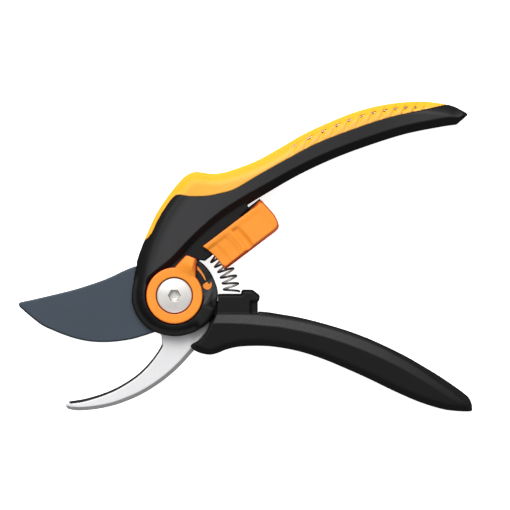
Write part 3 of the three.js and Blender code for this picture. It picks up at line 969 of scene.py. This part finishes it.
class PrunerColours(bpy.types.PropertyGroup):
    """Colours of the pruner's finishes, as linear values; the shade colours and the lit band are painted
    light and shade.
    """

    black_face: shade("Black face", "Grained faces of the black handles", (0.030, 0.030, 0.032))
    # Painted shade: the darker colour the black handles take on their edges and side walls.
    black_shade: shade("Black shade", "Edges and side walls of the black handles", (0.003, 0.003, 0.0032))
    # Painted shade and painted light: one nylon, dark on the lower facet and lighter on the band above it.
    lower_shade: shade("Lower shade", "Lower facet of the lower handle", (0.0055, 0.0055, 0.006))
    lower_lit_band: shade("Lower lit band", "Textured upper facet of the lower handle", (0.036, 0.036, 0.0375))
    grip_face: shade("Grip face", "Flat face of the soft grip", (0.92, 0.46, 0.08))
    # Painted shade: the deeper colour where the soft grip rolls over the spine.
    grip_shade: shade("Grip shade", "Soft grip where it rolls over the spine", (0.91, 0.385, 0.003))
    orange_face: shade("Orange face", "Faces of the lever and the slider", (0.90, 0.29, 0.021))
    # Painted shade: the darker red of the side walls of the lever and the slider.
    orange_shade: shade("Orange shade", "Side walls of the lever and the slider", (0.72, 0.09, 0.008))
    blade: shade("Blade", "Coating of the cutting blade", (0.049, 0.066, 0.087))
    # Painted shade: the darker colour of the blade's bevel.
    blade_shade: shade("Blade shade", "Bevel of the cutting blade", (0.012, 0.015, 0.02))
    hook_face: shade("Hook face", "Ground face of the hook", (0.82, 0.82, 0.83))
    # Painted shade: the dark colour of the hook's bevels.
    hook_shade: shade("Hook shade", "Painted shade on the hook's bevels", (0.012, 0.012, 0.013))
    bolt: shade("Bolt", "Turned steel of the bolt and nut", (0.78, 0.76, 0.73))
    spring: shade("Spring", "Drawn wire of the return spring", (0.92, 0.92, 0.91))
    print_ink: shade("Print", "Ink of the arrow by the lever", (0.80, 0.24, 0.01))


def length(name, description, value, least, most):
    return FloatProperty(name=name, description=description, unit="LENGTH", precision=5,
                         default=value * MM, min=least * MM, max=most * MM)


class PrunerSizes(bpy.types.PropertyGroup):
    """Sizes that a user may want to change."""

    mould_step: length("Moulding detail", "Sample spacing on the handles", 0.43, 0.2, 1)
    fine_step: length("Fine detail", "Sample spacing on small pieces and blades", 0.24, 0.1, 0.6)
    flute_pitch: length("Flute pitch", "Spacing of the flutes along the soft grip", 7, 3, 15)
    slider_dish: length("Slider dish", "Depth of the slider's thumb dish", 0.34, 0, 1)
    stop_travel: length("Stop travel", "Travel of the opening stop", 1.5, 0.5, 3)


# ---- Stage ----

def make_floor():
    """A pale floor, bright enough to stay white, that smooth faces don't mirror."""
    f = Finish("pale_floor", (0.92, 0.92, 0.92), 0.9, specular=0)
    f.set("Emission Color", (1, 1, 1, 1))
    f.set("Emission Strength", 0.85)
    mottle = f.noise(3, 2)
    f.colour(f.mix(mottle, (0.915, 0.915, 0.915), (0.925, 0.925, 0.925)))
    half, below = 4, -0.0001
    mesh = bpy.data.meshes.new("floor")
    mesh.from_pydata([(x * half, y * half, below) for x, y in ((-1, -1), (1, -1), (1, 1), (-1, 1))], [],
                     [(0, 1, 2, 3)])
    floor = link_mesh(mesh, f.material)
    floor.visible_glossy = False


def make_sky(scene):
    """A soft dome: one broad bright patch well above the handles, dim elsewhere."""
    world = bpy.data.worlds.new("studio")
    world.use_nodes = True
    scene.world = world
    tree = world.node_tree
    spot = tree.nodes.new("ShaderNodeTexCoord")
    toward = tree.nodes.new("ShaderNodeVectorMath")
    toward.operation = "DOT_PRODUCT"
    toward.inputs[1].default_value = Vector((-0.1, 0.74, 0.66)).normalized()
    ramp = tree.nodes.new("ShaderNodeValToRGB")
    dimmest, brightest = ramp.color_ramp.elements
    dimmest.position, dimmest.color = 0, (0.05, 0.05, 0.052, 1)
    brightest.position, brightest.color = 0.97, (1, 1, 1, 1)
    for place, value in ((0.5, 0.09), (0.66, 0.12), (0.8, 0.4)):
        ramp.color_ramp.elements.new(place).color = (value, value, value, 1)
    tree.links.new(spot.outputs["Generated"], toward.inputs[0])
    tree.links.new(toward.outputs["Value"], ramp.inputs[0])
    tree.links.new(ramp.outputs[0], tree.nodes["Background"].inputs["Color"])
    tree.nodes["Background"].inputs["Strength"].default_value = 2.8


def make_light(name, place, target, width, power):
    light = bpy.data.lights.new(name, "AREA")
    light.size = width
    light.energy = power
    lamp = bpy.data.objects.new(name, light)
    lamp.location = place
    lamp.rotation_euler = (Vector(target) - Vector(place)).to_track_quat("-Z", "Y").to_euler()
    bpy.context.scene.collection.objects.link(lamp)


# ---- Pieces ----

class PieceOperator:
    """What the operators that build pieces share."""

    bl_options = {"REGISTER", "UNDO"}


class PRUNER_OT_upper_handle(PieceOperator, bpy.types.Operator):
    """Build the black core of the upper handle, with the hub and the slider's rail"""

    bl_idname = "pruner.upper_handle"
    bl_label = "Upper Handle"

    def execute(self, context):
        g, points, piece = skinned("upper_handle_core", upper_core, size("mould_step"), moulded_black())
        x, y, z = points.T
        # Painted light and shade: upward faces keep the face colour, while side walls, the lower plateau
        # and housing, the lower side of the handle, its middle and end, and the spine near the hub fade
        # towards the dark edge colour as painted shade; the sloped facet beside the ring keeps the face
        # colour, a painted highlight.
        height = np.abs(z - MIDDLE)
        rim = plan_value(g, reach(g, HUB_SIDE + SPINE), points)
        face = blend(upward(piece), 0.86, 0.985) * (0.35 + 0.65 * blend(height, 6.3, 6.9))
        face *= 0.2 + 0.8 * blend(y - 0.4 * x, -9, 9)
        face *= np.interp(x, (10, 45, 90, 108, 118), (1, 0.65, 0.5, 0.85, 0.6))
        face *= most(blend(rim, 3, 9), blend(x, 20, 40))
        face *= 1 - blend(height, 6.9, 6.3) * blend(y, 14.5, 16.5)
        facet = blend(plan_value(g, reach(g, FACET), points), 4.4, 3.4) * (z > PLATEAU - 0.2)
        paint_shading(piece, most(face, facet * blend(upward(piece), 0.6, 0.8)))
        settle(piece, "upper_handle", "black_plastic", "upper_handle_core")
        return {"FINISHED"}


class PRUNER_OT_soft_grip(PieceOperator, bpy.types.Operator):
    """Build the soft grip with its flutes over the spine"""

    bl_idname = "pruner.soft_grip"
    bl_label = "Soft Grip"

    def execute(self, context):
        g, points, piece = skinned("soft_grip", grip_shell, size("mould_step") * 0.8, soft_yellow())
        seam = plan_value(g, side(g, GRIP_EDGE), points)
        spine = plan_value(g, reach(g, SPINE), points)
        # Painted shade: the grip takes its deeper edge colour where it rolls away from facing up and
        # towards the hub end; along the seam with the core it keeps the face colour.
        face = blend(upward(piece), 0.72, 0.97) * np.interp(points[:, 0], (-12, 12, 40), (0.4, 0.55, 1))
        paint_shading(piece, most(face, blend(seam, 1.2, 0.5) * blend(spine, 1, 3)))
        settle(piece, "upper_handle", "soft_yellow", "soft_grip")
        return {"FINISHED"}


class PRUNER_OT_lower_handle(PieceOperator, bpy.types.Operator):
    """Build the lower handle with its textured band, spring ledge and hooked post"""

    bl_idname = "pruner.lower_handle"
    bl_label = "Lower Handle"

    def execute(self, context):
        g, points, piece = skinned("lower_handle_core", lower_core, size("mould_step"), moulded_lower())
        x, z = points[:, 0], points[:, 2]
        # Painted light and shade: the band between the ridge and its top line takes the lighter band colour
        # where it faces up, and fades to the dark lower colour on its walls, beside the nose and towards
        # the handle's end.
        band = plan_value(g, np.minimum(side(g, RIDGE), -side(g, BAND_TOP)), points)
        nose = plan_value(g, side(g, NOSE_LINE), points)
        tone = blend(upward(piece), 0.8, 0.93) * blend(band, -0.1, 0.3) * blend(nose, -0.2, 0.2)
        tone *= blend(np.abs(z - MIDDLE), 5.4, 5.9)
        tone *= np.interp(x, (16, 30, 60, 85, 105, 125), (0.75, 1, 0.95, 0.6, 0.25, 0.05))
        paint_shading(piece, tone)
        settle(piece, "lower_handle", "black_plastic", "lower_handle_core")
        return {"FINISHED"}


class PRUNER_OT_blades(PieceOperator, bpy.types.Operator):
    """Build the coated cutting blade and the ground hook"""

    bl_idname = "pruner.blades"
    bl_label = "Blade and Hook"

    def execute(self, context):
        g, points, blade = skinned("cutting_blade", blade_plate, size("fine_step"), blade_coating())
        # Painted shade: the blade takes the darker edge colour on its bevels and where it runs under the
        # lower handle.
        paint_shading(blade, blend(upward(blade), 0.5, 0.95) * blend(points[:, 0], 15.5, 13.5))
        settle(blade, "lower_handle", "blade_coating", "cutting_blade")
        g, points, hook = skinned("hook_blade", hook_plate, size("fine_step"), ground_steel())
        # Painted shade: the hook takes the dark edge colour on its inner bevel, as a crisp dark line, and
        # half of it on its outer bevel.
        bevel = plan_value(g, reach(g, HOOK_INNER) - hook_bevel(g), points)
        bright = most(blend(upward(hook), 0.8, 0.97), 0.5 * blend(bevel, 1, 2))
        paint_shading(hook, most(bright, blend(bevel, 0.1, 0.3) * (bevel < 1.5)) * blend(bevel, 0.05, 0.2))
        settle(hook, "upper_handle", "hook_steel", "hook_blade")
        return {"FINISHED"}


class PRUNER_OT_pivot(PieceOperator, bpy.types.Operator):
    """Build the pivot bolt and nut"""

    bl_idname = "pruner.pivot"
    bl_label = "Pivot"

    def execute(self, context):
        steel = turned_steel()
        for name, shape, step in (("pivot_bolt", bolt_body, 0.13), ("pivot_nut", nut_body, 0.2)):
            piece = skinned(name, shape, step, steel)[2]
            # Painted shade: the bolt and nut take a darker copy of the steel on their sides and socket
            # walls.
            paint_shading(piece, blend(upward(piece), 0.3, 0.9))
            settle(piece, "upper_handle", "bolt_steel", name)
        return {"FINISHED"}


class PRUNER_OT_ring_lever(PieceOperator, bpy.types.Operator):
    """Build the ring lever and the arrow printed beside it"""

    bl_idname = "pruner.ring_lever"
    bl_label = "Ring Lever"

    def execute(self, context):
        piece = skinned("ring_lever", lever_plate, 0.2, orange_acetal())[2]
        # Painted shade: the ring takes the darker red edge colour on its side walls and the steep side of
        # the lug.
        paint_shading(piece, blend(upward(piece), 0.6, 0.93))
        settle(piece, "opening_lever", "orange_plastic", "ring_lever")
        ink = printed_orange()
        for name, outline in (("lever_arrow_head", ARROW_HEAD), ("lever_arrow", ARROW)):
            printed = flat_print(name, outline, PLATEAU, PLATEAU + 0.05, ink)
            settle(printed, "upper_handle", "orange_plastic")
        return {"FINISHED"}


class PRUNER_OT_lock_slider(PieceOperator, bpy.types.Operator):
    """Build the lock slider with its dished thumb face"""

    bl_idname = "pruner.lock_slider"
    bl_label = "Lock Slider"

    def execute(self, context):
        finish = orange_acetal("orange_acetal_slider")
        g, points, piece = skinned("lock_slider", slider_shell, size("fine_step"), finish)
        z = points[:, 2]
        # Painted shade: the slider keeps the face colour on its top and its underside, and takes the darker
        # red edge colour on its leaning walls and on everything below the top, the skirt included.
        lean = plan_value(g, slider_drop(g), points)
        on_top = np.abs(FRONT - lean - z) < 2.2
        paint_shading(piece, most(np.where(on_top, blend(lean, 0.9, 0.3), 0), blend(z, 1.3, 0.7)))
        settle(piece, "lock", "orange_plastic", "lock_slider")
        # Painted shade: a black strip along the slider's upper edge, in the shaded edge colour, where the
        # slider's side wall lies in shadow.
        g = Grid(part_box("lock_slider"), size("fine_step"))
        rail = mesh_object("slider_rail", *skin(slider_rail(g), g), moulded_black("moulded_black_rail"))
        settle(rail, "lock", "black_plastic")
        return {"FINISHED"}


class PRUNER_OT_return_spring(PieceOperator, bpy.types.Operator):
    """Wind the bent return spring"""

    bl_idname = "pruner.return_spring"
    bl_label = "Return Spring"

    def execute(self, context):
        rings, sides = int(SPRING_TURNS * 40), 12
        t = np.linspace(0, 1, rings + 1)
        along = np.radians(SPRING_FROM + (SPRING_TO - SPRING_FROM) * t)
        turn = t * SPRING_TURNS * 2 * math.pi
        radius = SPRING_ARC + COIL_RADIUS * np.cos(turn)
        height = COIL_MIDDLE + COIL_RADIUS * np.sin(turn)
        path = np.stack([radius * np.cos(along), radius * np.sin(along), height], 1)
        centre = np.stack([SPRING_ARC * np.cos(along), SPRING_ARC * np.sin(along), 0 * t + COIL_MIDDLE], 1)
        tangent = np.gradient(path, axis=0)
        tangent /= np.linalg.norm(tangent, axis=1)[:, None]
        out = path - centre
        out -= (out * tangent).sum(1)[:, None] * tangent
        out /= np.linalg.norm(out, axis=1)[:, None]
        across = np.cross(tangent, out)
        around = (np.arange(sides) * 2 * math.pi / sides)[None, :, None]
        wall = np.cos(around) * out[:, None] + np.sin(around) * across[:, None]
        points = (path[:, None] + WIRE_RADIUS * wall).reshape(-1, 3)
        ring = [(j, (j + 1) % sides) for j in range(sides)]
        quads = [(i * sides + a, i * sides + b, (i + 1) * sides + b, (i + 1) * sides + a)
                 for i in range(rings) for a, b in ring]
        spring = mesh_object("return_spring_look", points, np.array(quads), drawn_wire())
        cap_ends(spring, rings, sides)
        # Painted reflection: the strands on the front of each coil take the dark colour and those at the
        # back keep the bright one.
        paint_shading(spring, blend(points[:, 2] - COIL_MIDDLE, 0.6, -1.2))
        settle(spring, "upper_handle", "spring_steel", "return_spring")
        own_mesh(spring)
        return {"FINISHED"}


class PRUNER_OT_inner_pieces(PieceOperator, bpy.types.Operator):
    """Give the pins, washers, bush, stop and clip their metal finishes"""

    bl_idname = "pruner.inner_pieces"
    bl_label = "Inner Pieces"

    def execute(self, context):
        plated = ("hook_pin_inner", "hook_pin_outer", "blade_pin_inner", "blade_pin_outer", "nut_washer",
                  "head_washer", "slider_clip")
        for finish, names in (
            (plain_metal("plated_steel", (0.5, 0.5, 0.5), 0.35), plated),
            # Painted shade: the stop is near-black so that it reads as the shade in the narrow gap beside
            # the ring.
            (plain_metal("black_oxide", (0.02, 0.02, 0.021), 0.45), ("opening_stop",)),
            (plain_metal("bearing_bronze", (0.55, 0.38, 0.17), 0.4), ("blade_bush",)),
        ):
            for name in names:
                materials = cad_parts[name].data.materials
                materials.clear()
                materials.append(finish)
        return {"FINISHED"}


class PRUNER_OT_stage(PieceOperator, bpy.types.Operator):
    """Set the pale floor, the soft light and the camera"""

    bl_idname = "pruner.stage"
    bl_label = "Stage"

    def execute(self, context):
        scene = context.scene
        scene.view_settings.view_transform = "Standard"
        make_floor()
        make_sky(scene)
        make_light("key", (-0.25, 0.7, 1), (0.03, 0.02, 0), 0.6, 7)
        make_light("fill", (0, -0.75, 0.75), (-0.02, -0.03, 0), 0.5, 2)
        camera = bpy.data.objects.new("camera", bpy.data.cameras.new("camera"))
        camera.data.lens = camera.data.sensor_width * CAMERA_HEIGHT / VIEW_WIDTH
        camera.data.clip_end = 50
        camera.location = (*VIEW_CENTRE, CAMERA_HEIGHT + COIL_MIDDLE * MM)
        scene.collection.objects.link(camera)
        scene.camera = camera
        return {"FINISHED"}


# ---- Add-on ----

OPERATORS = (
    PRUNER_OT_upper_handle, PRUNER_OT_soft_grip, PRUNER_OT_lower_handle, PRUNER_OT_blades,
    PRUNER_OT_pivot, PRUNER_OT_ring_lever, PRUNER_OT_lock_slider, PRUNER_OT_return_spring,
    PRUNER_OT_inner_pieces, PRUNER_OT_stage,
)


class PRUNER_PT_pieces(bpy.types.Panel):
    """Lists the pieces and their settings"""

    bl_idname = "PRUNER_PT_pieces"
    bl_label = "Bypass Pruner"
    bl_space_type = "VIEW_3D"
    bl_region_type = "UI"
    bl_category = "Pruner"

    def draw(self, context):
        for group in (context.scene.pruner_sizes, context.scene.pruner_colours):
            box = self.layout.box()
            for key in group.__annotations__:
                box.prop(group, key)
        for operator in OPERATORS:
            self.layout.operator(operator.bl_idname)


CLASSES = (PrunerColours, PrunerSizes, *OPERATORS, PRUNER_PT_pieces)


def register():
    for cls in CLASSES:
        bpy.utils.register_class(cls)
    bpy.types.Scene.pruner_colours = PointerProperty(type=PrunerColours)
    bpy.types.Scene.pruner_sizes = PointerProperty(type=PrunerSizes)


def unregister():
    del bpy.types.Scene.pruner_sizes
    del bpy.types.Scene.pruner_colours
    for cls in reversed(CLASSES):
        bpy.utils.unregister_class(cls)


def main():
    register()
    for operator in OPERATORS:
        group, name = operator.bl_idname.split(".")
        getattr(getattr(bpy.ops, group), name)()


if __name__ == "__main__":
    main()
